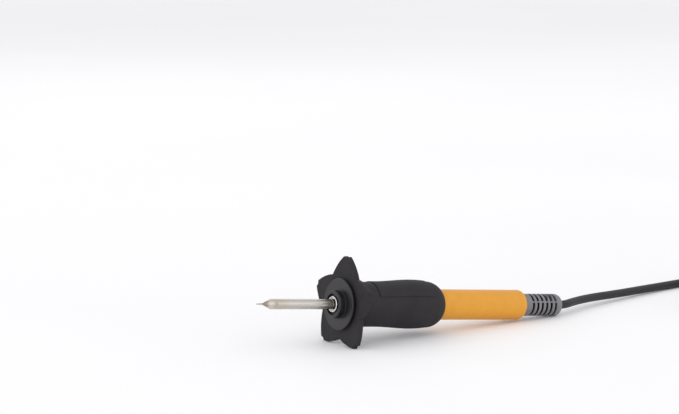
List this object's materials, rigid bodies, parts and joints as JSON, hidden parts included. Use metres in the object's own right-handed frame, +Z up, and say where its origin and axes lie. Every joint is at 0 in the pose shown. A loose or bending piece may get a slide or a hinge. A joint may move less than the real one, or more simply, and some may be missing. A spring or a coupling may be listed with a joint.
{
  "type": "wood burning pen",
  "caption": "Wood burning pen with a plug-in heated tip, cap nut, petal finger guard, soft grip, round handle, ribbed strain relief and a coiled lead with a round plug.",
  "frame": {"origin": "centre of the footprint of the pen lying at rest, on the surface it lies on; the lead and plug are not counted", "axes": "+X from the tip back towards the lead, +Z up, +Y across the pen"},
  "size_m": [0.3387, 0.0738, 0.0391],
  "materials": {
    "nib_metal": "bright plated copper alloy, slightly heat-tinted",
    "tube_steel": "drawn stainless tube",
    "ferrule_steel": "polished",
    "washer_fibre": "hard heat-resistant fibre",
    "mica": "mica tube",
    "ceramic": "unglazed ceramic",
    "heating_wire": "resistance wire",
    "contact_brass": "plain",
    "nut_black": "black heat-resistant moulding",
    "grip_rubber": "matte dark grey",
    "handle_orange": "satin orange",
    "block_plastic": "moulded insulator",
    "screw_steel": "zinc plated",
    "wire_insulation": "silicone insulated wire",
    "shrink_tube": "heat-shrink sleeve",
    "crimp_metal": "plain",
    "cord_jacket": "dark charcoal jacket",
    "relief_rubber": "grey soft moulding",
    "tie_fabric": "black hook-and-loop strap",
    "plug_black": "black moulding",
    "shell_steel": "plated steel",
    "insert_plastic": "black insulator"
  },
  "bodies": {
    "handpiece": {"finger_guard_grip": "grip_rubber", "handle_shell": "handle_orange", "contact_block": "block_plastic", "socket_contacts": "contact_brass", "block_screws": "screw_steel", "lead_wires": "wire_insulation", "shrink_sleeves": "shrink_tube", "crimp_ring": "crimp_metal", "cord_inner_end": "cord_jacket", "strain_relief": "relief_rubber", "cord_run": "cord_jacket", "cord_coil": "cord_jacket", "cord_tail": "cord_jacket", "coil_tie": "tie_fabric", "plug_boot": "plug_black", "plug_body": "plug_black", "plug_shell": "shell_steel", "plug_insert": "insert_plastic", "plug_contacts": "contact_brass"},
    "tip_cartridge": {"nib": "nib_metal", "tip_tube": "tube_steel", "ferrule": "ferrule_steel", "seat_washer": "washer_fibre", "insulating_sleeve": "mica", "heater_core": "ceramic", "heater_winding": "heating_wire", "heater_leads": "heating_wire", "cartridge_base": "ceramic", "contact_pins": "contact_brass"},
    "nut": {"cap_nut": "nut_black"}
  },
  "joints": [
    {"name": "cartridge_slide", "type": "slide", "parent": "handpiece", "child": "tip_cartridge", "axis": [-0.9943, 0, 0.1065], "range_m": [0, 0.006]},
    {"name": "nut_turn", "type": "hinge", "parent": "tip_cartridge", "child": "nut", "pos_m": [-0.04032, 0, 0.01815], "axis": [-0.9943, 0, 0.1065], "range_deg": [0, 2160]}
  ],
  "couplings": [
    {"joint": "nut_turn", "follows": "cartridge_slide", "rad_per_m": 6283}
  ]
}
